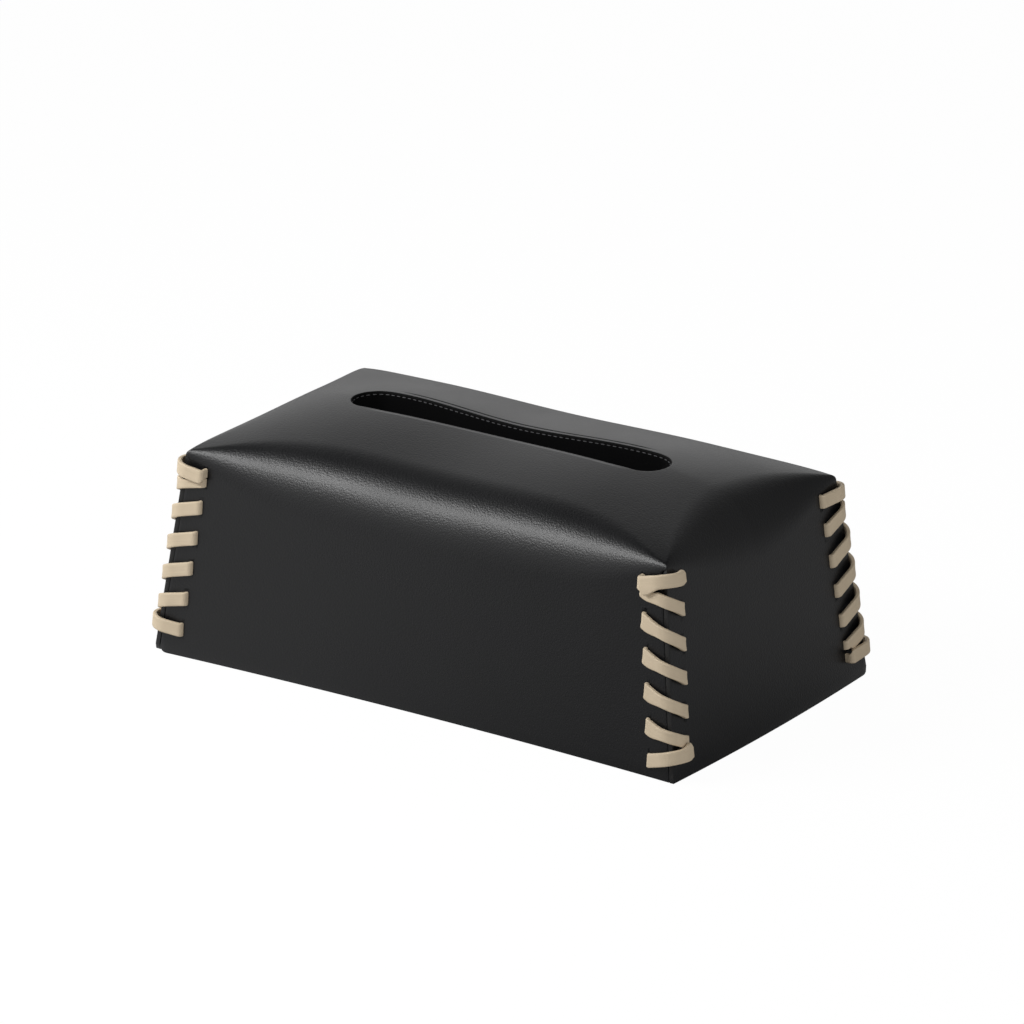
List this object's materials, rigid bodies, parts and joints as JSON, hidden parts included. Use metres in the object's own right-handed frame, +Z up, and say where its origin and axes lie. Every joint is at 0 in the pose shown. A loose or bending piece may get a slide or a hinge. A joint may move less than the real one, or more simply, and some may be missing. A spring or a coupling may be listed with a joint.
{
  "type": "tissue box cover",
  "caption": "Free-standing rectangular cover for a flat tissue box: leather folded over boards, with a long slot in its soft top and a flat thong lacing the corners.",
  "frame": {"origin": "middle of the footprint, on the surface that the cover stands on", "axes": "+X along the length, towards the right short wall; +Y across the depth, towards the back; +Z up"},
  "size_m": [0.2675, 0.1524, 0.1032],
  "materials": {
    "black_leather": "satin, fine grain",
    "lining_leather": "matt",
    "facing_leather": "matt",
    "fibre_board": "pressed fibre board, hidden between leather and lining",
    "grey_thread": "twisted polyester thread",
    "beige_thong": "matt, faintly ribbed"
  },
  "bodies": {
    "root": {"outer_shell": "black_leather", "lining": "lining_leather", "top_board": "fibre_board", "front_board": "fibre_board", "back_board": "fibre_board", "left_board": "fibre_board", "right_board": "fibre_board", "slot_facing": "facing_leather", "slot_stitching": "grey_thread", "lace_front_right": "beige_thong", "lace_front_left": "beige_thong", "lace_back_right": "beige_thong", "lace_back_left": "beige_thong"}
  },
  "joints": []
}
